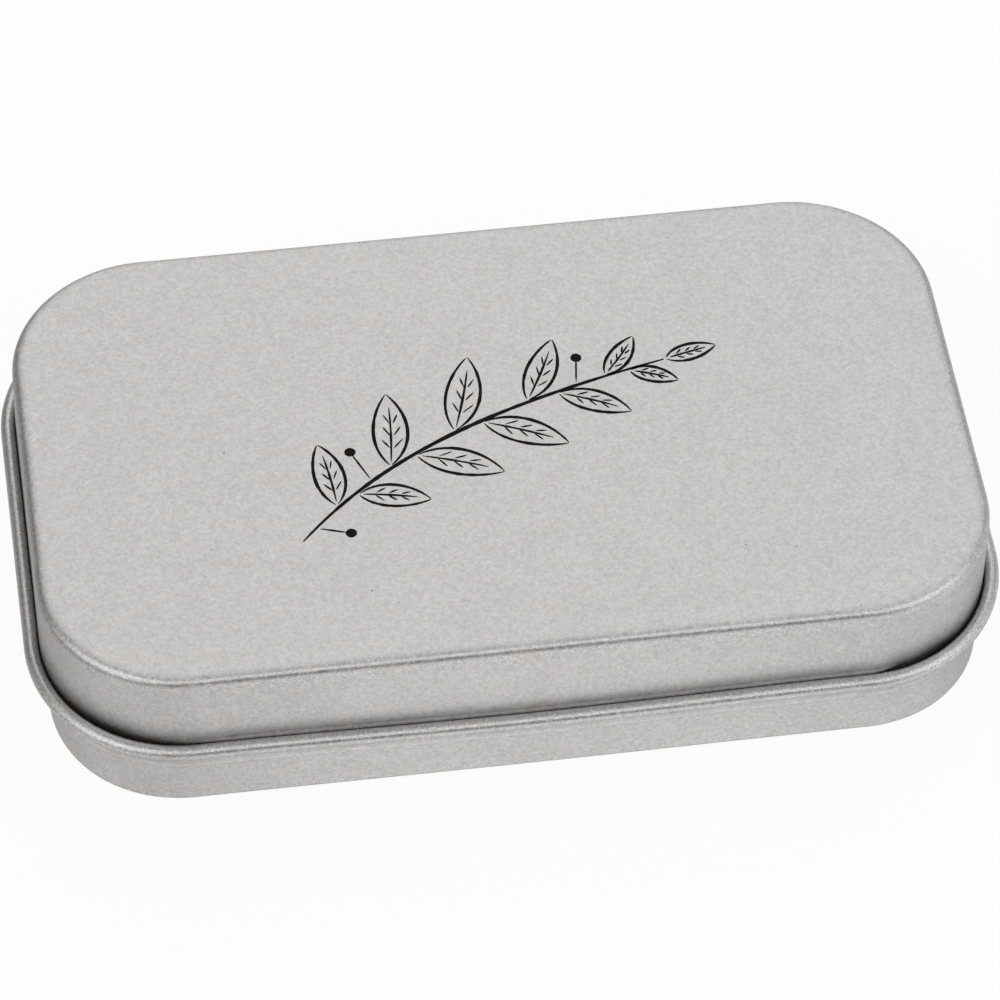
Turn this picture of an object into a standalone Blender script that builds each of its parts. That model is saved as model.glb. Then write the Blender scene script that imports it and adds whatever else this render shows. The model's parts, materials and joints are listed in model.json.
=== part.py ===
"""Pocket tin with a hinged lid, drawn from thin tinplate.

Two pans of the same sheet make the whole tin. The base is the lower pan: its
wall steps out at a shoulder and ends in a rim that is rolled outward. The lid
is the upper pan: its skirt drops inside the rim and its edge is rolled inward.
At the back, two tongues of the lid's own sheet pass through slots in the base
wall and curl round the rolled rim, which is the hinge's pin.

Metres, +Z up, +X along the tin, +Y towards the hinge. The origin is the centre
of the rim's outline, on the face that the tin stands on.
"""

import math

import bmesh
import bpy
from mathutils import Vector

# Overall sizes, over the base's rolled rim
TIN_LENGTH = 0.1130
TIN_WIDTH = 0.0684
TIN_HEIGHT = 0.0217
CORNER_RADIUS = 0.0182

# Sheet and running gap
SHEET = 0.00028
CLEARANCE = 0.00030

# Base pan
RIM_HEIGHT = 0.01155
RIM_DIAMETER = 0.00175
BASE_BEND_RADIUS = 0.00080
SHOULDER_STEP = 0.00070
SHOULDER_HEIGHT = 0.0010
SHOULDER_DROP = 0.0016

# How far the front of the rim stands out at its middle, where it is opened, and
# how far from the middle that reaches. The foot stands out by a share of it.
FRONT_BOW = 0.00042
BOW_REACH = 0.0380
FOOT_BOW_SHARE = 0.25

# Lid pan
LID_BEND_RADIUS = 0.00095
LID_CURL_DIAMETER = 0.00130

# Hinge
HINGE_SPACING = 0.0440
TONGUE_WIDTH = 0.0090
SLOT_SIDE_GAP = 0.0005
SLOT_LIP = 0.00030
RELIEF_WIDTH = 0.0011
RELIEF_RISE = 0.00030

# Angles, in degrees: how far each roll of sheet turns
RIM_CURL_TURN = 295
LID_CURL_TURN = 290
TONGUE_TURN = 280

# Facets, and the angle from which an edge between them is shaded sharp
CORNER_STEPS = 12
FRONT_STEPS = 10
BEND_STEPS = 5
SHOULDER_STEPS = 6
RIM_CURL_STEPS = 16
LID_CURL_STEPS = 12
TONGUE_STEPS = 16
SHARP_ANGLE = 40

# Finish: colour and roughness
BASE_FINISH = ((0.55, 0.54, 0.53), 0.42)
LID_FINISH = ((0.58, 0.57, 0.56), 0.45)

# Sizes that follow. An inset is a distance inward from the rim's outermost
# outline, and the middle of the sheet is what each pan's section describes.
HALF_SHEET = SHEET / 2
RIM_RADIUS = RIM_DIAMETER / 2
LID_CURL_RADIUS = LID_CURL_DIAMETER / 2
AXIS_Y = TIN_WIDTH / 2 - RIM_RADIUS
AXIS_Z = RIM_HEIGHT - RIM_RADIUS

NECK_INSET = RIM_DIAMETER - HALF_SHEET
WALL_INSET = NECK_INSET + SHOULDER_STEP
SKIRT_INSET = RIM_DIAMETER + CLEARANCE + HALF_SHEET

TONGUE_RADIUS = SKIRT_INSET - RIM_RADIUS
TONGUE_REACH = TONGUE_RADIUS + HALF_SHEET + CLEARANCE
NECK_OUTER_OFFSET = NECK_INSET - HALF_SHEET - RIM_RADIUS
SLOT_TOP = AXIS_Z - SLOT_LIP
SLOT_BOTTOM = AXIS_Z - math.sqrt(TONGUE_REACH**2 - NECK_OUTER_OFFSET**2)
SHOULDER_TOP = SLOT_BOTTOM - SHOULDER_DROP
SHOULDER_BOTTOM = SHOULDER_TOP - SHOULDER_HEIGHT


def clear_scene():
    for item in list(bpy.data.objects):
        bpy.data.objects.remove(item, do_unlink=True)


def arc(centre_inset, centre_height, radius, start, turn, steps):
    """Points of a section along an arc: 0 degrees is inward and 90 is up."""
    points = []
    for step in range(steps + 1):
        angle = math.radians(start + turn * step / steps)
        across = radius * math.cos(angle)
        points.append((centre_inset + across, centre_height + radius * math.sin(angle)))
    return points


def shoulder(offset=0.0):
    """Points of the base's shoulder, from its foot to its top, moved inward by offset."""
    points = []
    for step in range(SHOULDER_STEPS + 1):
        share = step / SHOULDER_STEPS
        outward = (1 - math.cos(math.pi * share)) / 2
        inset = WALL_INSET + (NECK_INSET - WALL_INSET) * outward + offset
        points.append((inset, SHOULDER_BOTTOM + SHOULDER_HEIGHT * share))
    return points


def lid_seat_height():
    """Height of the centre of the lid's rolled edge as it rests on the shoulder."""
    reach = LID_CURL_RADIUS + CLEARANCE
    centre_inset = SKIRT_INSET - HALF_SHEET + LID_CURL_RADIUS
    heights = []
    for inset, height in shoulder(HALF_SHEET):
        across = min(reach, abs(centre_inset - inset))
        heights.append(height + math.sqrt(reach**2 - across**2))
    return max(heights)


def base_section():
    """The base pan's section, from the edge of its floor to the end of its rolled rim."""
    bend = BASE_BEND_RADIUS - HALF_SHEET
    foot = WALL_INSET - HALF_SHEET + BASE_BEND_RADIUS
    points = arc(foot, BASE_BEND_RADIUS, bend, 270, -90, BEND_STEPS)
    points += shoulder()
    points += [(NECK_INSET, SLOT_BOTTOM), (NECK_INSET, SLOT_TOP)]
    points += arc(RIM_RADIUS, AXIS_Z, RIM_RADIUS - HALF_SHEET, 0, RIM_CURL_TURN, RIM_CURL_STEPS)
    return points


def lid_section():
    """The lid pan's section, from the edge of its panel to the end of its rolled edge."""
    bend = LID_BEND_RADIUS - HALF_SHEET
    outer = SKIRT_INSET - HALF_SHEET
    points = arc(outer + LID_BEND_RADIUS, TIN_HEIGHT - LID_BEND_RADIUS, bend, 90, 90, BEND_STEPS)
    points += [(SKIRT_INSET, AXIS_Z + RELIEF_RISE), (SKIRT_INSET, AXIS_Z)]
    curl_inset = outer + LID_CURL_RADIUS
    curl = LID_CURL_RADIUS - HALF_SHEET
    points += arc(curl_inset, lid_seat_height(), curl, 180, LID_CURL_TURN, LID_CURL_STEPS)
    return points


def tongue_section():
    """A tongue's section, from the skirt, under the rim and up its outer side."""
    return arc(RIM_RADIUS, AXIS_Z, TONGUE_RADIUS, 0, -TONGUE_TURN, TONGUE_STEPS)


def outline(back_stops):
    """Points and outward normals round the rim's outline, seen from above.

    back_stops are the places along X where the back side has an edge to cut at.
    """
    corner_x = TIN_LENGTH / 2 - CORNER_RADIUS
    corner_y = TIN_WIDTH / 2 - CORNER_RADIUS
    corners = [(corner_x, corner_y), (-corner_x, corner_y), (-corner_x, -corner_y), (corner_x, -corner_y)]
    stations = []
    for quarter, (x, y) in enumerate(corners):
        for step in range(CORNER_STEPS + 1):
            angle = math.pi / 2 * (quarter + step / CORNER_STEPS)
            normal = Vector((math.cos(angle), math.sin(angle), 0))
            stations.append((Vector((x, y, 0)) + normal * CORNER_RADIUS, normal))
        if quarter == 0:
            for stop in sorted(back_stops, reverse=True):
                stations.append((Vector((stop, TIN_WIDTH / 2, 0)), Vector((0, 1, 0))))
        if quarter == 2:
            for step in range(1, FRONT_STEPS):
                x = corner_x * (2 * step / FRONT_STEPS - 1)
                stations.append((Vector((x, -TIN_WIDTH / 2, 0)), Vector((0, -1, 0))))
    return stations


def front_bow(edge, height):
    """How far the front stands out at a height: most at the rim, nothing at the lid's top."""
    if edge.y > 0 or abs(edge.x) > BOW_REACH:
        return 0.0
    along = (1 + math.cos(math.pi * edge.x / BOW_REACH)) / 2
    if height > AXIS_Z:
        share = (TIN_HEIGHT - height) / (TIN_HEIGHT - AXIS_Z)
    else:
        share = FOOT_BOW_SHARE + (1 - FOOT_BOW_SHARE) * height / AXIS_Z
    return FRONT_BOW * along * share


def place(station, section_point):
    """The point of the tin at one station of the outline and one point of a section."""
    edge, normal = station
    inset, height = section_point
    return edge - normal * inset + Vector((0, -front_bow(edge, height), height))


def add_pan(mesh, stations, section, open_cells):
    """Sweep a section round the outline and close its first row with a flat panel.

    open_cells(middle, row) says which cells stay open: middle is the middle of a
    cell's edge on the outline, and row is the section's row that the cell starts at.
    """
    grid = []
    for station in stations:
        grid.append([mesh.verts.new(place(station, point)) for point in section])
    count = len(stations)
    for number in range(count):
        following = (number + 1) % count
        middle = (stations[number][0] + stations[following][0]) / 2
        for row in range(len(section) - 1):
            if open_cells(middle, row):
                continue
            near, far = grid[number], grid[following]
            mesh.faces.new((near[row], near[row + 1], far[row + 1], far[row]))
    mesh.faces.new([column[0] for column in grid])
    return grid


def back_station(stations, x):
    """The number of the station on the back side that lies at x."""
    at_back = [number for number, station in enumerate(stations) if station[0].y > AXIS_Y]
    return min(at_back, key=lambda number: abs(stations[number][0].x - x))


def add_tongue(mesh, stations, grid, root_row, edges):
    """Carry the skirt on round the rim between the two stations at the tongue's edges."""
    sides = []
    for x in edges:
        number = back_station(stations, x)
        path = [grid[number][root_row]]
        path += [mesh.verts.new(place(stations[number], spot)) for spot in tongue_section()[1:]]
        sides.append(path)
    left, right = sides
    for row in range(TONGUE_STEPS):
        mesh.faces.new((left[row], left[row + 1], right[row + 1], right[row]))


def tinplate(name, finish):
    colour, roughness = finish
    material = bpy.data.materials.new(name)
    material.use_nodes = True
    shader = material.node_tree.nodes["Principled BSDF"]
    shader.inputs["Base Color"].default_value = (*colour, 1)
    shader.inputs["Metallic"].default_value = 1
    shader.inputs["Roughness"].default_value = roughness
    return material


def sheet_object(name, mesh, origin, material):
    """Turn a surface at the middle of the sheet into an object of the sheet's thickness."""
    loose = [vert for vert in mesh.verts if not vert.link_faces]
    bmesh.ops.delete(mesh, geom=loose, context="VERTS")
    bmesh.ops.recalc_face_normals(mesh, faces=mesh.faces)
    bmesh.ops.translate(mesh, verts=mesh.verts, vec=-origin)
    data = bpy.data.meshes.new(name)
    mesh.to_mesh(data)
    mesh.free()
    data.shade_smooth()
    data.set_sharp_from_angle(angle=math.radians(SHARP_ANGLE))
    data.materials.append(material)
    item = bpy.data.objects.new(name, data)
    item.location = origin
    bpy.context.collection.objects.link(item)
    thickness = item.modifiers.new("Sheet thickness", "SOLIDIFY")
    thickness.thickness = SHEET
    thickness.offset = 0
    thickness.use_even_offset = True
    thickness.use_quality_normals = True
    return item


def hinge_centres():
    return [-HINGE_SPACING / 2, HINGE_SPACING / 2]


def make_base():
    slot_half = TONGUE_WIDTH / 2 + SLOT_SIDE_GAP
    stops = [centre + side * slot_half for centre in hinge_centres() for side in (-1, 1)]
    section = base_section()
    slot_row = section.index((NECK_INSET, SLOT_BOTTOM))

    def slot(middle, row):
        if row != slot_row or middle.y < AXIS_Y:
            return False
        return any(abs(middle.x - centre) < slot_half for centre in hinge_centres())

    mesh = bmesh.new()
    add_pan(mesh, outline(stops), section, slot)
    return sheet_object("base_pan", mesh, Vector(), tinplate("base_tinplate", BASE_FINISH))


def make_lid():
    tongue_half = TONGUE_WIDTH / 2
    relief_half = tongue_half + RELIEF_WIDTH
    stops = []
    for centre in hinge_centres():
        for half in (tongue_half, relief_half):
            stops += [centre - half, centre + half]
    section = lid_section()
    relief_row = section.index((SKIRT_INSET, AXIS_Z + RELIEF_RISE))
    root_row = relief_row + 1

    def cut_away(middle, row):
        if middle.y < AXIS_Y:
            return False
        for centre in hinge_centres():
            distance = abs(middle.x - centre)
            if distance < tongue_half:
                return row >= root_row
            if distance < relief_half:
                return row >= relief_row
        return False

    mesh = bmesh.new()
    stations = outline(stops)
    grid = add_pan(mesh, stations, section, cut_away)
    for centre in hinge_centres():
        add_tongue(mesh, stations, grid, root_row, (centre - tongue_half, centre + tongue_half))
    origin = Vector((0, AXIS_Y, AXIS_Z))
    return sheet_object("lid_pan", mesh, origin, tinplate("lid_tinplate", LID_FINISH))


clear_scene()
make_base()
make_lid()
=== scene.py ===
"""Looks of the hinged pocket tin: finer sheet pans, their finish, a print, the studio and the camera."""

import json
import math

import bmesh
import bpy
from mathutils import Matrix, Vector, noise


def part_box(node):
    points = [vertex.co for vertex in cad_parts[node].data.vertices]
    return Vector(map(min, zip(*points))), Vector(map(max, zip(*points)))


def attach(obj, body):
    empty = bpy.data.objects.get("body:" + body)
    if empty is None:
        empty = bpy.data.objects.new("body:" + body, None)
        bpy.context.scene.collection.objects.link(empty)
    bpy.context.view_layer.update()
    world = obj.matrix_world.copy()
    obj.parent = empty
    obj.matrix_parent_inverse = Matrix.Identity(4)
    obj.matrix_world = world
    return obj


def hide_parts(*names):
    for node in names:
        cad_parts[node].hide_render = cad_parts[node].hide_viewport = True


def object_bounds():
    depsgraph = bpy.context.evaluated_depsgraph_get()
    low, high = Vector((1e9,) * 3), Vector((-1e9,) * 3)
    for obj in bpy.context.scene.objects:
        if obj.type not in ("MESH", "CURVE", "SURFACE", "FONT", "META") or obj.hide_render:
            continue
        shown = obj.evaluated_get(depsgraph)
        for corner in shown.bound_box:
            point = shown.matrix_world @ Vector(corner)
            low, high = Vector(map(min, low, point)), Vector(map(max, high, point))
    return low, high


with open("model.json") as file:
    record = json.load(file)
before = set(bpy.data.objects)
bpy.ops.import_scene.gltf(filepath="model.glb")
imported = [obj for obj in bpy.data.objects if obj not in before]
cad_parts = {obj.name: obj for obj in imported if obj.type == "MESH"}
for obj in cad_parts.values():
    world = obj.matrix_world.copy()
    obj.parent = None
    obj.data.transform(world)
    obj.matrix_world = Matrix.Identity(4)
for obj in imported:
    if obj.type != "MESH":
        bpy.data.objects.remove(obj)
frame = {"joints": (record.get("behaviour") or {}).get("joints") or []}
cad_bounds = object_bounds()

MM = 0.001

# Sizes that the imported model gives
base_low, base_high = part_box("base_pan")
lid_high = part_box("lid_pan")[1]
AXIS_Y, AXIS_Z = frame["joints"][0]["pos_m"][1:]
LENGTH = base_high.x - base_low.x
WIDTH = 2 * base_high.y
TOP = lid_high.z
RIM_RADIUS = base_high.y - AXIS_Y

# Sizes that it doesn't give, as its source has them
CORNER_RADIUS = 18.2 * MM
FRONT_BOW = 0.42 * MM
BOW_REACH = 38.0 * MM
FOOT_BOW_SHARE = 0.25
SHEET = 0.28 * MM
CLEARANCE = 0.30 * MM
BASE_BEND_RADIUS = 0.80 * MM
SHOULDER_STEP = 0.70 * MM
SHOULDER_HEIGHT = 1.0 * MM
SHOULDER_DROP = 1.6 * MM
# The bend round the lid's panel eases in and out: (tilt in degrees where a part ends, its radius)
LID_BEND = ((20, 1.90 * MM), (60, 0.80 * MM), (90, 1.25 * MM))
LID_CURL_RADIUS = 0.65 * MM
HINGE_SPACING = 44.0 * MM
TONGUE_WIDTH = 9.0 * MM
SLOT_SIDE_GAP = 0.5 * MM
SLOT_LIP = 0.30 * MM
RELIEF_WIDTH = 1.1 * MM
RELIEF_RISE = 0.30 * MM
RIM_CURL_TURN = 295
LID_CURL_TURN = 290
TONGUE_TURN = 280

# Detail that only the looks have: where a value is a pair, it fades in or out between the two places
PANEL_SINK = 0.03 * MM
PANEL_SINK_REACH = 6.0 * MM
TONGUE_TIP_RADIUS = 1.0 * MM
WALL_WAVE = 0.02 * MM
WALL_WAVELENGTH = 9.0 * MM
WALL_DRIFT = 0.2 * MM
WALL_FULLNESS = 0.24 * MM
RIM_FULLNESS = 0.10 * MM
FRONT_FLARE = 0.27 * MM
FRONT_FLARE_START = (-47.0 * MM, -36.0 * MM)
FRONT_REACH = (0.30 * WIDTH, 0.45 * WIDTH)
END_REACH = (0.40 * LENGTH, 0.48 * LENGTH)
FRONT_PRESS = 0.13 * MM
PRESS_GAP = 0.03 * MM
PRESS_HEIGHTS = (0.55 * MM, 1.05 * MM)
PRESS_ENDS = ((-41.0 * MM, -34.0 * MM), (38.5 * MM, 42.5 * MM))
HOLLOW_PLACES = ((38.5 * MM, 42.5 * MM), (46.0 * MM, 51.0 * MM))
SIDE_FLARE = 0.26 * MM
SIDE_FLARE_FADE = (20.0 * MM, 28.0 * MM)
SIDE_SPREAD = 0.14 * MM

# How finely the sheets are divided
SIDE_STEP = 2.0 * MM
CORNER_STEPS = 36
BEND_STEPS = 14
SHOULDER_STEPS = 14
RIM_STEPS = 36
LID_CURL_STEPS = 24
TONGUE_STEPS = 40
WALL_STEPS = 5
NECK_STEPS = 3
SKIRT_STEPS = 6
SEAT_STEPS = 3
# Rows of the floor and the panel, inward from their bends, and of the skirt, above the rim's middle
FLOOR_ROWS = [inset * MM for inset in (11, 6, 3, 1.4, 0.6, 0.2)]
PANEL_ROWS = [inset * MM for inset in (11, 6, 3, 1.2)]
SKIRT_ROWS = [rise * MM for rise in (1.5, 1.25, 1.05, 0.9, 0.78, 0.66, 0.54, 0.42)]
# How much the sheet is formed, from flat to rolled, and the tilt in degrees from which the lid's bend
# counts as rolled
FLAT, SLOT_EDGE, GENTLE, BENT, ROLLED = 0.0, 0.2, 0.3, 0.8, 1.0
ROLLED_TILT = 30
SHARP_ANGLE = 40

HALF_SHEET = SHEET / 2
NECK_INSET = 2 * RIM_RADIUS - HALF_SHEET
WALL_INSET = NECK_INSET + SHOULDER_STEP
SKIRT_INSET = 2 * RIM_RADIUS + CLEARANCE + HALF_SHEET
TONGUE_RADIUS = SKIRT_INSET - RIM_RADIUS
SLOT_TOP = AXIS_Z - SLOT_LIP
SLOT_REACH = TONGUE_RADIUS + HALF_SHEET + CLEARANCE
SLOT_BOTTOM = AXIS_Z - math.sqrt(SLOT_REACH**2 - (NECK_INSET - HALF_SHEET - RIM_RADIUS) ** 2)
SHOULDER_TOP = SLOT_BOTTOM - SHOULDER_DROP
SHOULDER_BOTTOM = SHOULDER_TOP - SHOULDER_HEIGHT
HINGE_CENTRES = (-HINGE_SPACING / 2, HINGE_SPACING / 2)


def smooth(value, low, high):
    share = min(max((value - low) / (high - low), 0.0), 1.0)
    return share * share * (3 - 2 * share)


# Sections: each row is (inset from the rim's outline, height, how much the sheet is formed there)


def arc(inset, height, radius, start, turn, steps, formed):
    rows = []
    for step in range(steps + 1):
        angle = math.radians(start + turn * step / steps)
        rows.append((inset + radius * math.cos(angle), height + radius * math.sin(angle), formed))
    return rows


def straight(inset, start, end, count):
    """Rows down or up a wall between two heights, without the two ends."""
    return [(inset, start + (end - start) * step / count, FLAT) for step in range(1, count)]


def shoulder(offset=0.0):
    rows = []
    for step in range(SHOULDER_STEPS + 1):
        share = step / SHOULDER_STEPS
        outward = (1 - math.cos(math.pi * share)) / 2
        inset = WALL_INSET + (NECK_INSET - WALL_INSET) * outward + offset
        rows.append((inset, SHOULDER_BOTTOM + SHOULDER_HEIGHT * share, GENTLE))
    return rows


def lid_seat_height():
    """Height of the centre of the lid's rolled edge as it rests on the base's shoulder."""
    reach = LID_CURL_RADIUS + CLEARANCE
    centre = SKIRT_INSET - HALF_SHEET + LID_CURL_RADIUS
    heights = []
    for inset, height, _ in shoulder(HALF_SHEET):
        across = min(reach, abs(centre - inset))
        heights.append(height + math.sqrt(reach**2 - across**2))
    return max(heights)


def base_section():
    bend = BASE_BEND_RADIUS - HALF_SHEET
    foot = WALL_INSET - HALF_SHEET + BASE_BEND_RADIUS
    rows = [(foot + inset, HALF_SHEET, FLAT) for inset in FLOOR_ROWS]
    rows += arc(foot, BASE_BEND_RADIUS, bend, 270, -90, BEND_STEPS, BENT)
    rows += straight(WALL_INSET, BASE_BEND_RADIUS, SHOULDER_BOTTOM, WALL_STEPS)
    rows += shoulder()
    rows += straight(NECK_INSET, SHOULDER_TOP, SLOT_BOTTOM, NECK_STEPS)
    slot_row = len(rows)
    rows += [(NECK_INSET, SLOT_BOTTOM, FLAT), (NECK_INSET, SLOT_TOP, SLOT_EDGE)]
    rows += arc(RIM_RADIUS, AXIS_Z, RIM_RADIUS - HALF_SHEET, 0, RIM_CURL_TURN, RIM_STEPS, ROLLED)
    return rows, slot_row


def eased_bend(foot, top):
    """The bend from the flat panel down to the skirt, by its tilt; foot is where the panel ends."""
    rows = [(foot, top, GENTLE)]
    inset, height, start = foot, top, 0.0
    steps = BEND_STEPS // len(LID_BEND) + 1
    for end, radius in LID_BEND:
        for step in range(steps):
            low = math.radians(start + (end - start) * step / steps)
            high = math.radians(start + (end - start) * (step + 1) / steps)
            inset -= radius * (math.sin(high) - math.sin(low))
            height -= radius * (math.cos(low) - math.cos(high))
            rows.append((inset, height, smooth(math.degrees(high), 0, ROLLED_TILT)))
        start = end
    return rows


def lid_section():
    outer = SKIRT_INSET - HALF_SHEET
    level = TOP - HALF_SHEET
    reach = SKIRT_INSET - eased_bend(0.0, 0.0)[-1][0]
    rows = []
    for inset in PANEL_ROWS:
        sink = PANEL_SINK * smooth(inset, 0, PANEL_SINK_REACH)
        rows.append((reach + inset, level - sink, FLAT))
    rows += eased_bend(reach, level)
    rows += straight(SKIRT_INSET, rows[-1][1], AXIS_Z + SKIRT_ROWS[0], SKIRT_STEPS)
    rows += [(SKIRT_INSET, AXIS_Z + rise, FLAT) for rise in SKIRT_ROWS]
    relief_row = len(rows)
    rows += [(SKIRT_INSET, AXIS_Z + RELIEF_RISE, FLAT), (SKIRT_INSET, AXIS_Z, FLAT)]
    seat = lid_seat_height()
    rows += straight(SKIRT_INSET, AXIS_Z, seat, SEAT_STEPS)
    curl = LID_CURL_RADIUS - HALF_SHEET
    rows += arc(outer + LID_CURL_RADIUS, seat, curl, 180, LID_CURL_TURN, LID_CURL_STEPS, ROLLED)
    return rows, relief_row


# The outline of the rim, seen from above


def side_places(half, stops):
    """Places along a straight side from +half to -half, with every stop among them."""
    count = math.ceil(2 * half / SIDE_STEP)
    places = list(stops)
    for step in range(1, count):
        place = half - 2 * half * step / count
        if all(abs(place - stop) > SIDE_STEP / 4 for stop in stops):
            places.append(place)
    return sorted(places, reverse=True)


def outline(back_stops):
    """Stations (point, outward normal) from the back right corner on: each corner, then the side after it."""
    corner_x = LENGTH / 2 - CORNER_RADIUS
    corner_y = WIDTH / 2 - CORNER_RADIUS
    stations = []
    for quarter, (side_x, side_y) in enumerate(((1, 1), (-1, 1), (-1, -1), (1, -1))):
        corner = Vector((side_x * corner_x, side_y * corner_y, 0))
        for step in range(CORNER_STEPS + 1):
            angle = math.pi / 2 * (quarter + step / CORNER_STEPS)
            normal = Vector((math.cos(angle), math.sin(angle), 0))
            stations.append((corner + normal * CORNER_RADIUS, normal))
        along = Vector((math.cos(math.pi / 2 * quarter), math.sin(math.pi / 2 * quarter), 0))
        outward = Vector((-along.y, along.x, 0))
        half = corner_x if quarter % 2 == 0 else corner_y
        reach = WIDTH / 2 if quarter % 2 == 0 else LENGTH / 2
        stops = back_stops if quarter == 0 else []
        for place in side_places(half, stops):
            stations.append((along * place + outward * reach, outward))
    return stations


def at_back(point):
    return point.y > AXIS_Y


def front_bow(edge, height):
    """How far the front stands out at a height: most at the middle of the rim, nothing at the top."""
    if edge.y > 0:
        return 0.0
    along = 1 - smooth(abs(edge.x), 0, BOW_REACH)
    below = FOOT_BOW_SHARE + (1 - FOOT_BOW_SHARE) * smooth(height, 0, SHOULDER_TOP)
    return FRONT_BOW * along * below * (1 - smooth(height, AXIS_Z, TOP))


def set_at(station, row):
    """The sheet's point at one station of the outline and one row of a section, with a slight wave."""
    edge, normal = station
    inset, height = row[:2]
    spot = edge + Vector((0, 0, height))
    wave = WALL_WAVE * (1 + noise.noise(spot / WALL_WAVELENGTH)) / 2
    return edge - normal * (inset + wave) + Vector((0, -front_bow(edge, height), height))


def drift_base(spot):
    """The drawn wall sits a little to the right of the rolled rim, and the corners are a little fuller."""
    below = 1 - smooth(spot.z, SHOULDER_BOTTOM, SHOULDER_TOP)
    corner_x = abs(spot.x) - (LENGTH / 2 - CORNER_RADIUS)
    corner_y = abs(spot.y) - (WIDTH / 2 - CORNER_RADIUS)
    fuller = 0.0
    if corner_x > 0 and corner_y > 0:
        most = WALL_FULLNESS * below
        if spot.y < 0:
            most += RIM_FULLNESS * (1 - below)
        fuller = most * math.sin(2 * math.atan2(corner_y, corner_x))
    outward = Vector((math.copysign(fuller, spot.x), math.copysign(fuller, spot.y), 0))
    return spot + outward + Vector((WALL_DRIFT * below, 0, 0))


def lean_lid(spot):
    """The skirt leans out at the front and the ends until it nearly meets the rim, less at the left front."""
    lower = 1 - smooth(spot.z, AXIS_Z, TOP)
    front = smooth(-spot.y, *FRONT_REACH) * smooth(spot.x, *FRONT_FLARE_START)
    end = smooth(abs(spot.x), *END_REACH)
    lean = (SIDE_FLARE - SIDE_SPREAD) * lower
    if spot.x < 0:
        lean *= 1 - smooth(-spot.y, *SIDE_FLARE_FADE)
    outward = math.copysign((SIDE_SPREAD + lean) * end, spot.x)
    start, finish = HOLLOW_PLACES
    hollow = smooth(spot.x, *start) * (1 - smooth(spot.x, *finish))
    forward = FRONT_FLARE * front * lower * (1 - hollow)
    left, right = PRESS_ENDS
    along = smooth(spot.x, *left) * (1 - smooth(spot.x, *right))
    return spot + Vector((outward, -forward - press(spot.z - AXIS_Z) * front * along, 0))


def press(rise):
    """How much further the skirt's front bulges onto the rolled rim, at a rise above the rim's middle."""
    if not 0 < rise < PRESS_HEIGHTS[1]:
        return 0.0
    rim = math.sqrt(max(RIM_RADIUS**2 - rise**2, 0.0))
    gap = RIM_RADIUS + CLEARANCE - FRONT_FLARE - rim - PRESS_GAP
    return max(0.0, min(gap, FRONT_PRESS * (1 - smooth(rise, *PRESS_HEIGHTS))))


def new_sheet():
    sheet = bmesh.new()
    return sheet, sheet.verts.layers.float.new("formed")


def add_pan(sheet, formed_layer, stations, section, open_cells, strain):
    grid = []
    for station in stations:
        column = []
        for row in section:
            vert = sheet.verts.new(strain(set_at(station, row)))
            vert[formed_layer] = row[2]
            column.append(vert)
        grid.append(column)
    for number, station in enumerate(stations):
        following = (number + 1) % len(stations)
        middle = (station[0] + stations[following][0]) / 2
        near, far = grid[number], grid[following]
        for row in range(len(section) - 1):
            if not open_cells(middle, row):
                sheet.faces.new((near[row], near[row + 1], far[row + 1], far[row]))
    sheet.faces.new([column[0] for column in grid])
    return grid


def add_tongue(sheet, formed_layer, stations, grid, root_row, centre):
    """Carry the skirt on round the base's rim, with the tongue's two far corners rounded."""
    half = TONGUE_WIDTH / 2
    slack = SIDE_STEP / 100
    inside = [
        number for number, (edge, _) in enumerate(stations)
        if at_back(edge) and abs(edge.x - centre) < half + slack
    ]
    section = arc(RIM_RADIUS, AXIS_Z, TONGUE_RADIUS, 0, -TONGUE_TURN, TONGUE_STEPS, ROLLED)
    length = math.radians(TONGUE_TURN) * TONGUE_RADIUS
    paths = []
    for number in inside:
        edge, normal = stations[number]
        path = [grid[number][root_row]]
        for step, row in enumerate(section[1:], start=1):
            left_over = length * (1 - step / TONGUE_STEPS)
            corner = max(0.0, TONGUE_TIP_RADIUS - left_over)
            narrowed = half - TONGUE_TIP_RADIUS + math.sqrt(TONGUE_TIP_RADIUS**2 - corner**2)
            spot = set_at((edge, normal), row)
            spot.x = centre + (spot.x - centre) * narrowed / half
            vert = sheet.verts.new(spot)
            vert[formed_layer] = ROLLED
            path.append(vert)
        paths.append(path)
    for near, far in zip(paths, paths[1:]):
        for row in range(TONGUE_STEPS):
            sheet.faces.new((near[row], near[row + 1], far[row + 1], far[row]))


def finish_sheet(name, sheet, materials):
    """Give the sheet its thickness and make it a piece with crisp cut edges."""
    loose = [vert for vert in sheet.verts if not vert.link_faces]
    bmesh.ops.delete(sheet, geom=loose, context="VERTS")
    bmesh.ops.recalc_face_normals(sheet, faces=sheet.faces)
    data = bpy.data.meshes.new(name)
    sheet.to_mesh(data)
    sheet.free()
    for material in materials:
        data.materials.append(material)
    piece = bpy.data.objects.new(name, data)
    bpy.context.collection.objects.link(piece)
    thickness = piece.modifiers.new("Sheet thickness", "SOLIDIFY")
    thickness.thickness = SHEET
    thickness.offset = 0
    thickness.use_even_offset = True
    thickness.use_quality_normals = True
    thickness.material_offset_rim = 1
    evaluated = piece.evaluated_get(bpy.context.evaluated_depsgraph_get())
    solid = bpy.data.meshes.new_from_object(evaluated)
    piece.modifiers.clear()
    piece.data = solid
    # Whatever the wave, the drift and the lean add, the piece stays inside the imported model's box
    low, high = cad_bounds
    for vert in solid.vertices:
        vert.co = [min(max(place, least), most) for place, least, most in zip(vert.co, low, high)]
    solid.shade_smooth()
    solid.set_sharp_from_angle(angle=math.radians(SHARP_ANGLE))
    return piece


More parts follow.
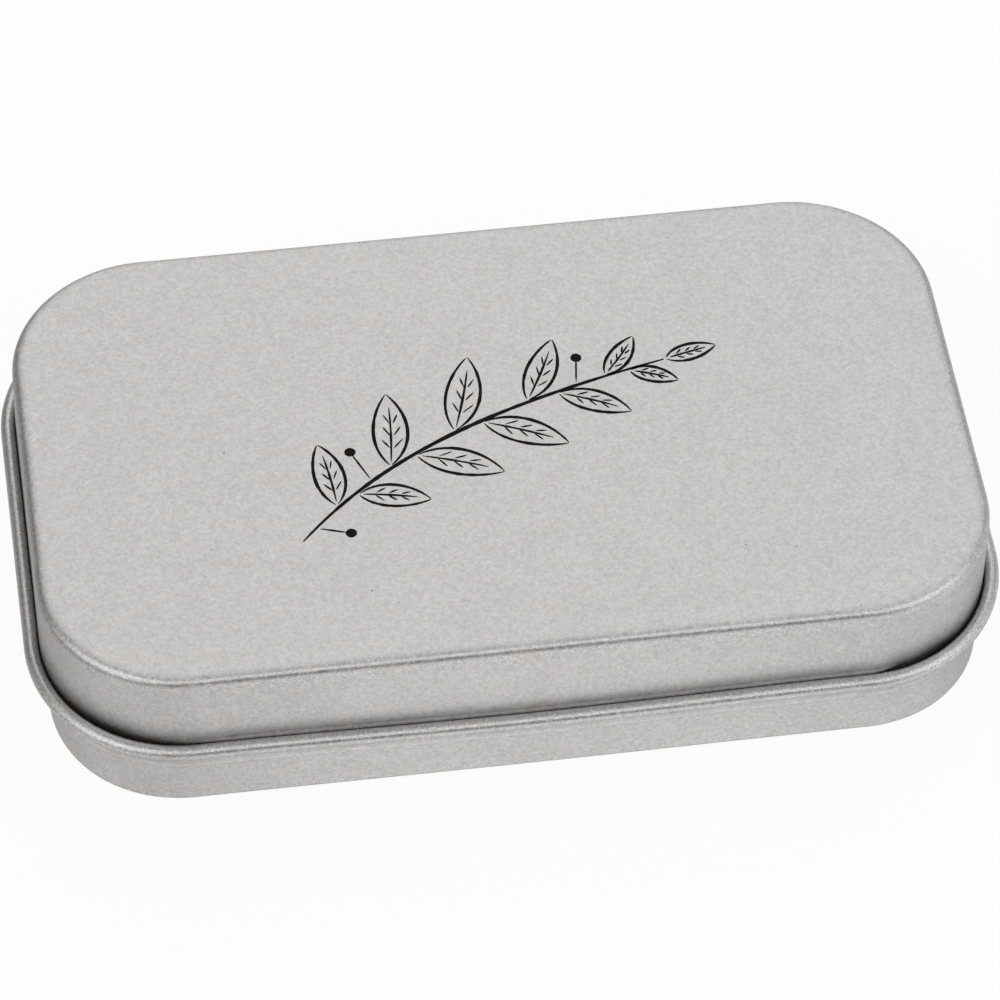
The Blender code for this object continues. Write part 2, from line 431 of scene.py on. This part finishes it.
def make_base(materials):
    slot_half = TONGUE_WIDTH / 2 + SLOT_SIDE_GAP
    stops = [centre + side * slot_half for centre in HINGE_CENTRES for side in (-1, 1)]
    section, slot_row = base_section()

    def slot(middle, row):
        in_slot = any(abs(middle.x - centre) < slot_half for centre in HINGE_CENTRES)
        return row == slot_row and at_back(middle) and in_slot

    sheet, formed_layer = new_sheet()
    add_pan(sheet, formed_layer, outline(stops), section, slot, drift_base)
    return finish_sheet("base_shell", sheet, materials)


def make_lid(materials):
    tongue_half = TONGUE_WIDTH / 2
    relief_half = tongue_half + RELIEF_WIDTH
    stops = []
    for centre in HINGE_CENTRES:
        for half in (tongue_half, relief_half):
            stops += [centre - half, centre + half]
    section, relief_row = lid_section()
    root_row = relief_row + 1

    def cut_away(middle, row):
        if not at_back(middle):
            return False
        distance = min(abs(middle.x - centre) for centre in HINGE_CENTRES)
        if distance < tongue_half:
            return row >= root_row
        return distance < relief_half and row >= relief_row

    sheet, formed_layer = new_sheet()
    stations = outline(stops)
    grid = add_pan(sheet, formed_layer, stations, section, cut_away, lean_lid)
    for centre in HINGE_CENTRES:
        add_tongue(sheet, formed_layer, stations, grid, root_row, centre)
    return finish_sheet("lid_shell", sheet, materials)


# The print: a leafy sprig drawn as ribbons of ink. Its sizes are in millimetres

INK_LIFT = 0.001 * MM
INK_LEVEL = TOP - PANEL_SINK + INK_LIFT
INK_THICKNESS = 0.015 * MM
STEM_LINE, LEAF_LINE, MIDRIB_LINE, VEIN_LINE, STALK_LINE = 0.55, 0.42, 0.30, 0.22, 0.26
STEM_STEPS, STROKE_STEPS, VEIN_STEPS, STALK_STEPS = 60, 14, 5, 8
# The pen: how thin a line starts, how soon it swells, and how far and how often its width swings
LINE_TAPER, STEM_TAPER = 0.25, 0.35
PEN_SWELL = 0.6
PEN_SWING, PEN_SWING_SCALE = 0.35, 1.7
# A leaf: the gap at its root, its half width at both ends, and its sides as shares of length and breadth
LEAF_GAP = 0.35
LEAF_ROOT, LEAF_TIP = 0.15, 0.06
LEAF_SIDES = ((0.3, 1.0), (0.72, 0.8))
# How far from the stem's middle a leaf starts, and how much it bows
LEAF_OFFSET = 0.25
LEAF_BOW = 0.16
# Its midrib: the middle point and the end as shares of the leaf's length, and the gap before it starts
MIDRIB = (0.45, 0.82)
MIDRIB_GAP = LEAF_GAP * 2.2
# Its veins: how many pairs, where they start, how far apart, their lean, and how far they reach out
VEINS = 3
VEIN_START, VEIN_SPACING, VEIN_LEAN = 0.26, 0.17, 0.12
VEIN_ROOT, VEIN_REACH, VEIN_FADE = 0.22, 0.42, 0.07
# The leaf at the stem's end: the stem's share that aims it, its length, breadth and bow
END_LEAF = (0.97, 6.5, 1.7, 0.05)
# A berry: its radius, sides, how far past its stalk its middle is, and its unevenness
BERRY_RADIUS, BERRY_SIDES, BERRY_OFFSET = 0.66, 16, 0.45
BERRY_UNEVEN, BERRY_UNEVEN_SCALE = 0.12, 0.9
# Where a stalk starts, and its middle point as a share of its reach
STALK_START, STALK_MIDDLE = 0.45, 0.6
# How far ahead on the stem a twig takes its direction, as a share of the stem
AIM_STEP = 0.01
STEM = [Vector(spot) for spot in ((-24.0, -13.5), (-13.0, -1.5), (1.0, 4.0), (21.0, 8.5))]
# Leaves on the stem: share of its length, side, spread in degrees, length, breadth
LEAVES = (
    (0.13, 1, 56, 9.5, 2.5), (0.19, -1, 50, 8.5, 2.3), (0.31, 1, 53, 11.0, 2.9),
    (0.38, -1, 50, 10.5, 2.7), (0.50, 1, 50, 11.5, 2.9), (0.57, -1, 47, 10.5, 2.6),
    (0.69, 1, 46, 10.0, 2.5), (0.76, -1, 42, 9.0, 2.2), (0.87, 1, 38, 7.0, 1.8), (0.92, -1, 35, 6.0, 1.6),
)
# Berries: share of the stem's length, side, spread in degrees, how far out
BERRIES = ((0.25, 1, 78, 4.6), (0.81, 1, 66, 3.8), (0.05, -1, 62, 3.6))


def bezier(points, share):
    """A point on the Bezier curve through the given control points."""
    while len(points) > 1:
        points = [a.lerp(b, share) for a, b in zip(points, points[1:])]
    return points[0]


def add_stroke(ink, control, width, taper=LINE_TAPER, steps=STROKE_STEPS):
    """A ribbon along a Bezier curve, thin at its ends, with the small swings of a pen."""
    line = [bezier(control, step / steps) for step in range(steps + 1)]
    left, right = [], []
    for number, spot in enumerate(line):
        before, after = line[max(number - 1, 0)], line[min(number + 1, steps)]
        along = (after - before).normalized()
        side = Vector((-along.y, along.x))
        share = number / steps
        swell = taper + (1 - taper) * math.sin(math.pi * share) ** PEN_SWELL
        swing = 1 + PEN_SWING * noise.noise(Vector((spot.x, spot.y, width)) * PEN_SWING_SCALE)
        half = side * width / 2 * swell * swing
        for edge, place in ((left, spot + half), (right, spot - half)):
            edge.append(ink.verts.new((place.x * MM, place.y * MM, INK_LEVEL)))
    for row in range(steps):
        ink.faces.new((right[row], right[row + 1], left[row + 1], left[row]))


def add_leaf(ink, root, angle, length, breadth, bow):
    """A pointed leaf in outline, with a midrib and side veins."""
    turn = Matrix.Rotation(angle, 2)

    def at(x, y):
        return root + turn @ Vector((x, y + bow * x * (length - x) / length))

    for side in (-1, 1):
        control = [at(LEAF_GAP, side * LEAF_ROOT)]
        control += [at(length * along, side * breadth * across) for along, across in LEAF_SIDES]
        control.append(at(length, side * LEAF_TIP))
        add_stroke(ink, control, LEAF_LINE)
    add_stroke(ink, [at(MIDRIB_GAP, 0), at(length * MIDRIB[0], 0), at(length * MIDRIB[1], 0)], MIDRIB_LINE)
    for number in range(VEINS):
        start = length * (VEIN_START + VEIN_SPACING * number)
        reach = breadth * (VEIN_REACH - VEIN_FADE * number)
        for side in (-1, 1):
            vein_root = at(start, side * VEIN_ROOT)
            tip = at(start + length * VEIN_LEAN, side * reach)
            add_stroke(ink, [vein_root, vein_root.lerp(tip, 0.5), tip], VEIN_LINE, steps=VEIN_STEPS)


def add_berry(ink, centre):
    ring = []
    for step in range(BERRY_SIDES):
        angle = 2 * math.pi * step / BERRY_SIDES
        uneven = noise.noise(Vector((centre.x + step, centre.y, 0)) * BERRY_UNEVEN_SCALE)
        reach = BERRY_RADIUS * (1 + BERRY_UNEVEN * uneven)
        x, y = centre.x + reach * math.cos(angle), centre.y + reach * math.sin(angle)
        ring.append(ink.verts.new((x * MM, y * MM, INK_LEVEL)))
    ink.faces.new(ring)


def branch(share, side, spread_angle):
    """Where a twig leaves the stem, its angle and its direction."""
    root = bezier(STEM, share)
    ahead = bezier(STEM, share + AIM_STEP) - root
    angle = math.atan2(ahead.y, ahead.x) + side * math.radians(spread_angle)
    return root, angle, Vector((math.cos(angle), math.sin(angle)))


def make_print(material):
    ink = bmesh.new()
    add_stroke(ink, STEM, STEM_LINE, taper=STEM_TAPER, steps=STEM_STEPS)
    for share, side, spread_angle, length, breadth in LEAVES:
        root, angle, out = branch(share, side, spread_angle)
        add_leaf(ink, root + out * LEAF_OFFSET, angle, length, breadth, -side * LEAF_BOW)
    tip = bezier(STEM, 1.0)
    aim, length, breadth, bow = END_LEAF
    end = tip - bezier(STEM, aim)
    add_leaf(ink, tip, math.atan2(end.y, end.x), length, breadth, bow)
    for share, side, spread_angle, reach in BERRIES:
        root, _, out = branch(share, side, spread_angle)
        stalk = [root + out * STALK_START, root + out * reach * STALK_MIDDLE, root + out * reach]
        add_stroke(ink, stalk, STALK_LINE, steps=STALK_STEPS)
        add_berry(ink, root + out * (reach + BERRY_OFFSET))
    bmesh.ops.recalc_face_normals(ink, faces=ink.faces)
    for face in ink.faces:
        if face.normal.z < 0:
            face.normal_flip()
    data = bpy.data.meshes.new("lid_print")
    ink.to_mesh(data)
    ink.free()
    data.materials.append(material)
    piece = bpy.data.objects.new("lid_print", data)
    bpy.context.collection.objects.link(piece)
    layer = piece.modifiers.new("Ink layer", "SOLIDIFY")
    layer.thickness = INK_THICKNESS
    layer.offset = 1
    return piece


# Materials


def add_node(tree, kind, values=None, **settings):
    item = tree.nodes.new(kind)
    for name, value in settings.items():
        setattr(item, name, value)
    for socket, value in (values or {}).items():
        if isinstance(value, bpy.types.NodeSocket):
            tree.links.new(value, item.inputs[socket])
        else:
            item.inputs[socket].default_value = value
    return item


def math_node(tree, operation, *values):
    return add_node(tree, "ShaderNodeMath", dict(enumerate(values)), operation=operation).outputs[0]


def product(tree, factors):
    total = factors[0]
    for factor in factors[1:]:
        total = math_node(tree, "MULTIPLY", total, factor)
    return total


def noise_value(tree, vector, scale, detail, roughness):
    values = {"Vector": vector, "Scale": scale, "Detail": detail, "Roughness": roughness}
    return add_node(tree, "ShaderNodeTexNoise", values).outputs["Fac"]


def stretched(tree, vector, scale, offset=(0, 0, 0)):
    values = {"Vector": vector, "Scale": scale, "Location": offset}
    return add_node(tree, "ShaderNodeMapping", values).outputs[0]


def spread(tree, value, low, high, to_low, to_high):
    values = {"Value": value, "From Min": low, "From Max": high, "To Min": to_low, "To Max": to_high}
    return add_node(tree, "ShaderNodeMapRange", values).outputs["Result"]


def mixed(tree, share, first, second, blend="MIX"):
    """Two colours mixed. The Mix node has sockets for other kinds of value too, so these go by number."""
    sockets = {0: share, 6: first, 7: second}
    return add_node(tree, "ShaderNodeMix", sockets, data_type="RGBA", blend_type=blend).outputs[2]


def ramp(tree, value, stops):
    """A grey level that follows the value through the stops, each a (position, level)."""
    item = add_node(tree, "ShaderNodeValToRGB", {"Fac": value})
    item.color_ramp.interpolation = "EASE"
    while len(item.color_ramp.elements) < len(stops):
        item.color_ramp.elements.new(0.5)
    for element, (position, level) in zip(item.color_ramp.elements, stops):
        element.position = position
        element.color = (level, level, level, 1)
    return item.outputs["Color"]


def level_along(tree, place, stops):
    """A level that follows a place in millimetres through the stops, each a (place, level)."""
    low, high = stops[0][0], stops[-1][0]
    shares = [((at - low) / (high - low), level) for at, level in stops]
    return ramp(tree, spread(tree, place, low, high, 0, 1), shares)


def millimetres(tree, offset=(0, 0, 0)):
    place = add_node(tree, "ShaderNodeTexCoord").outputs["Object"]
    return stretched(tree, place, (1 / MM,) * 3, offset)


def new_material(name):
    material = bpy.data.materials.new(name)
    material.use_nodes = True
    return material, material.node_tree, material.node_tree.nodes["Principled BSDF"]


def add_bump(tree, shader, height, strength, depth):
    bump = add_node(tree, "ShaderNodeBump", {"Strength": strength, "Distance": depth, "Height": height})
    tree.links.new(bump.outputs[0], shader.inputs["Normal"])


# Tinplate: the two greys it drifts between, cold and warm, its roughness, and its grey at a glancing view
TIN_GREYS = ((0.574, 0.574, 0.574), (0.584, 0.567, 0.562))
TIN_ROUGHNESS = 0.36
TIN_EDGE_TINT = 0.6
# Noises: scale per millimetre, detail, roughness. Their offsets keep them apart
GRAIN = (2.0, 4, 0.64)
SAND, SAND_OFFSET = (5.5, 2, 0.6), (17, 5, 9)
MOTTLE = (0.2, 2, 0.6)
WARMTH, WARMTH_OFFSET = (0.33, 2, 0.6), (40, 7, 3)
SCUFF, SCUFF_STRETCH = (0.9, 4, 0.75), (0.5, 1, 1)
# A noise's mean and which part of it counts, then the range that this part turns into
NOISE_MEAN = 0.5
NOISE_CORE, NOISE_MIDDLE = (0.25, 0.75), (0.3, 0.7)
GRAIN_SHADE, SAND_SHADE, MOTTLE_SHADE = (0.80, 1.20), (0.91, 1.09), (0.965, 1.035)
WARMTH_RANGE, SCUFF_RANGE = (0.42, 0.62), (0.56, 0.66)
GRAIN_ROUGHNESS, MOTTLE_ROUGHNESS, FORMED_ROUGHNESS = 0.05, 0.02, 0.03
# Warmth fades from left to right, in millimetres
WARM_PLACES, WARM_SHARES = (-50, 40), (1, 0.1)
# How much more the sand grain and the bump show where the sheet is bent or rolled; the grain's share there is
# a painted glint in the colour
GLINT = 1.0
FORMED_BUMP = 3.0
# The bump itself: the sand's share in it beside the grain, its strength and its depth
SAND_BUMP = 0.6
BUMP_STRENGTH, BUMP_DEPTH = 0.5, 0.02 * MM
# Dark specks: cells per millimetre, which cells have one, the largest radius, and how dark they are
SPECK_SCALE = 0.35
SPECK_RARITY = (0.82, 1.0)
SPECK_RADIUS = 0.045
SPECK_SHADE = 0.35
# Heights of the painted shade under the rim, in millimetres, each with its strength
RIM_SHADE = ((7.85, 0.0), (8.05, 0.35), (8.9, 1.0), (9.9, 0.8), (10.5, 0.0))
# The strength from which the painted shade is at its darkest, and how dark it and its scuffs are
RIM_SHADE_FULL = 0.4
RIM_SHADE_DARKNESS, SCUFF_SHADE = 0.92, 0.5
# Heights where the shoulder's edge is painted a little brighter, a painted highlight over the shade of its
# curve
SHOULDER_HIGHLIGHT = ((6.7, 0.0), (7.1, 1.0), (7.4, 1.0), (7.8, 0.0))
SHOULDER_HIGHLIGHT_GAIN = 1.1


def tinplate(name, offset, painted_light_and_scuffs=False):
    """Satin tinplate: sandy grain, soft mottling, small dark specks, a painted glint on its bends, and under
    the rolled rim painted shade with scuffs and a painted highlight on the shoulder's edge.
    """
    material, tree, shader = new_material(name)
    place = millimetres(tree, offset)
    formed = add_node(tree, "ShaderNodeAttribute", attribute_name="formed").outputs["Fac"]
    grain = noise_value(tree, place, *GRAIN)
    sand = noise_value(tree, stretched(tree, place, (1, 1, 1), SAND_OFFSET), *SAND)
    mottle = noise_value(tree, place, *MOTTLE)
    warmth = noise_value(tree, stretched(tree, place, (1, 1, 1), WARMTH_OFFSET), *WARMTH)
    real = add_node(tree, "ShaderNodeSeparateXYZ", {"Vector": millimetres(tree)}).outputs
    warm_here = spread(tree, real["X"], *WARM_PLACES, *WARM_SHARES)
    warmth = math_node(tree, "MULTIPLY", spread(tree, warmth, *WARMTH_RANGE, 0, 1), warm_here)
    tint = mixed(tree, warmth, (*TIN_GREYS[0], 1), (*TIN_GREYS[1], 1))
    # A painted glint: on bends and rolls the sand grain swings the colour brighter and darker
    glint = math_node(tree, "SUBTRACT", sand, NOISE_MEAN)
    glint = math_node(tree, "MULTIPLY", glint, math_node(tree, "MULTIPLY", formed, GLINT))
    values = {"Vector": place, "Scale": SPECK_SCALE, "Randomness": 1.0}
    cells = add_node(tree, "ShaderNodeTexVoronoi", values)
    rarity = add_node(tree, "ShaderNodeSeparateColor", {"Color": cells.outputs["Color"]}).outputs[0]
    size = spread(tree, rarity, *SPECK_RARITY, 0.0, SPECK_RADIUS)
    speck = math_node(tree, "LESS_THAN", cells.outputs["Distance"], size)
    shades = [
        spread(tree, grain, *NOISE_CORE, *GRAIN_SHADE),
        spread(tree, sand, *NOISE_CORE, *SAND_SHADE),
        spread(tree, mottle, *NOISE_MIDDLE, *MOTTLE_SHADE),
        math_node(tree, "ADD", glint, 1.0),
        spread(tree, speck, 0, 1, 1.0, SPECK_SHADE),
    ]
    if painted_light_and_scuffs:
        # Painted shade under the rolled rim, with scuffs in it, and a painted highlight on the shoulder's
        # edge, by height
        under, shoulder_highlight = level_along(tree, real["Z"], RIM_SHADE), level_along(tree, real["Z"], SHOULDER_HIGHLIGHT)
        scuff = noise_value(tree, stretched(tree, place, SCUFF_STRETCH), *SCUFF)
        scuff = math_node(tree, "MULTIPLY", spread(tree, scuff, *SCUFF_RANGE, 0, 1), under)
        # The painted shade, the painted highlight and the scuffs darken or lighten the colour
        shades += [
            spread(tree, under, 0, RIM_SHADE_FULL, 1.0, RIM_SHADE_DARKNESS),
            spread(tree, shoulder_highlight, 0, 1, 1.0, SHOULDER_HIGHLIGHT_GAIN),
            spread(tree, scuff, 0, 1, 1.0, SCUFF_SHADE),
        ]
    shade = product(tree, shades)
    grey = add_node(tree, "ShaderNodeCombineColor", {0: shade, 1: shade, 2: shade}).outputs[0]
    tree.links.new(mixed(tree, 1.0, tint, grey, "MULTIPLY"), shader.inputs["Base Color"])
    shader.inputs["Metallic"].default_value = 1
    shader.inputs["Specular Tint"].default_value = (*(TIN_EDGE_TINT,) * 3, 1)
    low, high = TIN_ROUGHNESS - GRAIN_ROUGHNESS, TIN_ROUGHNESS + GRAIN_ROUGHNESS
    rough = spread(tree, grain, *NOISE_CORE, low, high)
    uneven = spread(tree, mottle, *NOISE_MIDDLE, -MOTTLE_ROUGHNESS, MOTTLE_ROUGHNESS)
    rough = math_node(tree, "ADD", rough, uneven)
    rough = math_node(tree, "SUBTRACT", rough, math_node(tree, "MULTIPLY", formed, FORMED_ROUGHNESS))
    tree.links.new(rough, shader.inputs["Roughness"])
    height = math_node(tree, "ADD", grain, math_node(tree, "MULTIPLY", sand, SAND_BUMP))
    swell = math_node(tree, "ADD", math_node(tree, "MULTIPLY", formed, FORMED_BUMP), 1.0)
    add_bump(tree, shader, math_node(tree, "MULTIPLY", height, swell), BUMP_STRENGTH, BUMP_DEPTH)
    return material


# The cut edges: their noise, drawn out through the sheet, and the greys and roughness between its ends
DRAG, DRAG_STRETCH = (3.0, 3, 0.6), (6, 6, 1.5)
CUT_GREYS = ((0.30, 0.29, 0.28), (0.52, 0.51, 0.50))
CUT_ROUGHNESS = (0.35, 0.55)


def cut_edge(name, offset):
    """The bare steel that shows where the sheet was cut."""
    material, tree, shader = new_material(name)
    drag = noise_value(tree, stretched(tree, millimetres(tree, offset), DRAG_STRETCH), *DRAG)
    colour = mixed(tree, drag, (*CUT_GREYS[0], 1), (*CUT_GREYS[1], 1))
    tree.links.new(colour, shader.inputs["Base Color"])
    shader.inputs["Metallic"].default_value = 1
    tree.links.new(spread(tree, drag, *NOISE_MIDDLE, *CUT_ROUGHNESS), shader.inputs["Roughness"])
    add_bump(tree, shader, drag, BUMP_STRENGTH, BUMP_DEPTH)
    return material


# The ink: its noise, where it is worn, its two blacks, roughness, gloss and bump
INK_NOISE, INK_WORN = (5.0, 3, 0.6), (0.45, 0.8)
INK_BLACK, INK_WORN_BLACK = 0.002, 0.012
INK_ROUGHNESS = (0.55, 0.8)
INK_GLOSS = 0.12
INK_BUMP_STRENGTH, INK_BUMP_DEPTH = 0.4, 0.01 * MM


def printed_ink():
    material, tree, shader = new_material("black_ink")
    grain = noise_value(tree, millimetres(tree), *INK_NOISE)
    worn = spread(tree, grain, *INK_WORN, 0, 1)
    colour = mixed(tree, worn, (*(INK_BLACK,) * 3, 1), (*(INK_WORN_BLACK,) * 3, 1))
    tree.links.new(colour, shader.inputs["Base Color"])
    shader.inputs["Specular IOR Level"].default_value = INK_GLOSS
    tree.links.new(spread(tree, grain, *NOISE_MIDDLE, *INK_ROUGHNESS), shader.inputs["Roughness"])
    add_bump(tree, shader, grain, INK_BUMP_STRENGTH, INK_BUMP_DEPTH)
    return material


# Studio

# The room's light by elevation in degrees, in the units where 1 is white
ROOM = (
    (0, 0.80), (10, 0.75), (22, 0.73), (36, 0.79), (50, 0.845), (62, 0.69), (74, 0.46), (90, 0.30),
)
# Soft boxes and dark flags in it: azimuth from the back towards +X, elevation, reach, radiance added
ZONES = (
    (122, 45, 45, 0.50), (240, 45, 45, 0.60), (180, 12, 40, -0.57), (310, 32, 48, -0.54),
    (52, 34, 42, -0.28), (8, 51, 42, 0.42), (171, 50, 26, 0.10),
)
# The least that they may leave anywhere
ROOM_LEAST = 0.05
# The floor: a disc with this radius in metres, its sides and its white
FLOOR_RADIUS = 3.0
FLOOR_SIDES = 96
FLOOR_WHITE = 0.93
# How much of the floor that the camera sees is its own glow
FLOOR_GLOW = 0.92
# How bright the floor looks to the metal, by place along X in millimetres, the share of that glow over
# the plain floor, and how far outside the tin's foot it reaches that share, in millimetres
METAL_GLOW = (
    (-130, 0.35), (-88, 0.50), (-64, 0.86), (-44, 0.80), (-32, 0.90),
    (-15, 0.99), (25, 0.99), (45, 0.93), (62, 0.94), (80, 1.0), (130, 0.8),
)
METAL_GLOW_SHARE = 0.95
FOOT_SHADOW = 0.5


def beyond_foot(tree, place):
    """How far a place on the floor lies outside the tin's foot, in millimetres."""
    radius = (CORNER_RADIUS - WALL_INSET - HALF_SHEET) / MM
    squares = []
    for axis, size in (("X", LENGTH), ("Y", WIDTH)):
        reach = (size / 2 - CORNER_RADIUS) / MM
        past = math_node(tree, "SUBTRACT", math_node(tree, "ABSOLUTE", place[axis]), reach)
        squares.append(math_node(tree, "POWER", math_node(tree, "MAXIMUM", past, 0.0), 2.0))
    return math_node(tree, "SUBTRACT", math_node(tree, "SQRT", math_node(tree, "ADD", *squares)), radius)


def make_floor():
    """A white floor, whose own glow softens the shadow that the camera and the metal see."""
    material, tree, shader = new_material("studio_floor")
    shader.inputs["Base Color"].default_value = (*(FLOOR_WHITE,) * 3, 1)
    shader.inputs["Roughness"].default_value = 1.0
    shader.inputs["Specular IOR Level"].default_value = 0.0
    place = add_node(tree, "ShaderNodeSeparateXYZ", {"Vector": millimetres(tree)}).outputs
    sweep = level_along(tree, place["X"], METAL_GLOW)
    path = add_node(tree, "ShaderNodeLightPath").outputs
    metal = math_node(tree, "MAXIMUM", path["Is Glossy Ray"], path["Is Transmission Ray"])
    clear = spread(tree, beyond_foot(tree, place), 0, FOOT_SHADOW, 0, METAL_GLOW_SHARE)
    seen = math_node(tree, "MULTIPLY", metal, clear)
    seen = math_node(tree, "MAXIMUM", seen, math_node(tree, "MULTIPLY", path["Is Camera Ray"], FLOOR_GLOW))
    glow_colour = mixed(tree, metal, (1, 1, 1, 1), sweep)
    glow = add_node(tree, "ShaderNodeEmission", {"Color": glow_colour, "Strength": 1.0})
    both = add_node(tree, "ShaderNodeMixShader", {0: seen})
    tree.links.new(shader.outputs[0], both.inputs[1])
    tree.links.new(glow.outputs[0], both.inputs[2])
    tree.links.new(both.outputs[0], tree.nodes["Material Output"].inputs["Surface"])
    disc = bmesh.new()
    bmesh.ops.create_circle(disc, cap_ends=True, segments=FLOOR_SIDES, radius=FLOOR_RADIUS)
    data = bpy.data.meshes.new("studio_floor")
    disc.to_mesh(data)
    disc.free()
    data.materials.append(material)
    floor = bpy.data.objects.new("studio_floor", data)
    bpy.context.collection.objects.link(floor)


def towards(azimuth, elevation):
    azimuth, elevation = math.radians(azimuth), math.radians(elevation)
    level = math.cos(elevation)
    return (level * math.sin(azimuth), level * math.cos(azimuth), math.sin(elevation))


def make_world():
    """Soft studio light: a room that is brightest half way up, with soft boxes and flags round the tin."""
    world = bpy.data.worlds.new("studio")
    bpy.context.scene.world = world
    world.use_nodes = True
    tree = world.node_tree
    direction = add_node(tree, "ShaderNodeTexCoord").outputs["Generated"]
    height = add_node(tree, "ShaderNodeSeparateXYZ", {"Vector": direction}).outputs["Z"]
    share = math_node(tree, "DIVIDE", math_node(tree, "ARCSINE", height), math.pi / 2)
    light = ramp(tree, share, [(elevation / 90, level) for elevation, level in ROOM])
    for azimuth, elevation, reach, level in ZONES:
        ends = {0: direction, 1: towards(azimuth, elevation)}
        facing = add_node(tree, "ShaderNodeVectorMath", ends, operation="DOT_PRODUCT").outputs["Value"]
        values = {"Value": facing, "From Min": math.cos(math.radians(reach)), "To Max": level}
        lobe = add_node(tree, "ShaderNodeMapRange", values, interpolation_type="SMOOTHSTEP")
        light = math_node(tree, "ADD", light, lobe.outputs["Result"])
    light = math_node(tree, "MAXIMUM", light, ROOM_LEAST)
    tree.links.new(light, tree.nodes["Background"].inputs["Color"])


# The camera: its turns in degrees, its distance from the spot it looks at, and its lens and sensor
CAMERA_YAW = -9.368
CAMERA_PITCH = 50.203
CAMERA_ROLL = 1.547
CAMERA_DISTANCE = 597.16 * MM
CAMERA_TARGET = Vector((0.8163, 0.9601, 8.0)) * MM
CAMERA_LENS = 182.774
CAMERA_SENSOR = 36
CAMERA_CLIP = (0.01, 20)


def make_camera():
    yaw, pitch, roll = (math.radians(a) for a in (CAMERA_YAW, CAMERA_PITCH, CAMERA_ROLL))
    forward = Vector((-math.sin(yaw) * math.cos(pitch), math.cos(yaw) * math.cos(pitch), -math.sin(pitch)))
    level = Vector((math.cos(yaw), math.sin(yaw), 0))
    upright = level.cross(forward)
    right = level * math.cos(roll) + upright * math.sin(roll)
    up = upright * math.cos(roll) - level * math.sin(roll)
    data = bpy.data.cameras.new("camera")
    data.sensor_width = CAMERA_SENSOR
    data.lens = CAMERA_LENS
    data.clip_start, data.clip_end = CAMERA_CLIP
    camera = bpy.data.objects.new("camera", data)
    bpy.context.collection.objects.link(camera)
    turn = Matrix((right, up, -forward)).transposed().to_4x4()
    camera.matrix_world = Matrix.Translation(CAMERA_TARGET - forward * CAMERA_DISTANCE) @ turn
    bpy.context.scene.camera = camera


# Each material's noise is moved by its own offset in millimetres, so that no two look alike
base_metal = tinplate("base_tinplate", (3, 11, 5), painted_light_and_scuffs=True)
lid_metal = tinplate("lid_tinplate", (0, 0, 0))
base_shell = make_base([base_metal, cut_edge("base_cut_edge", (1, 2, 3))])
lid_shell = make_lid([lid_metal, cut_edge("lid_cut_edge", (4, 5, 6))])
lid_print = make_print(printed_ink())

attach(base_shell, "base")
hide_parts("base_pan")
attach(lid_shell, "lid")
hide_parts("lid_pan")
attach(lid_print, "lid")

make_floor()
make_world()
make_camera()
bpy.context.scene.view_settings.view_transform = "Standard"
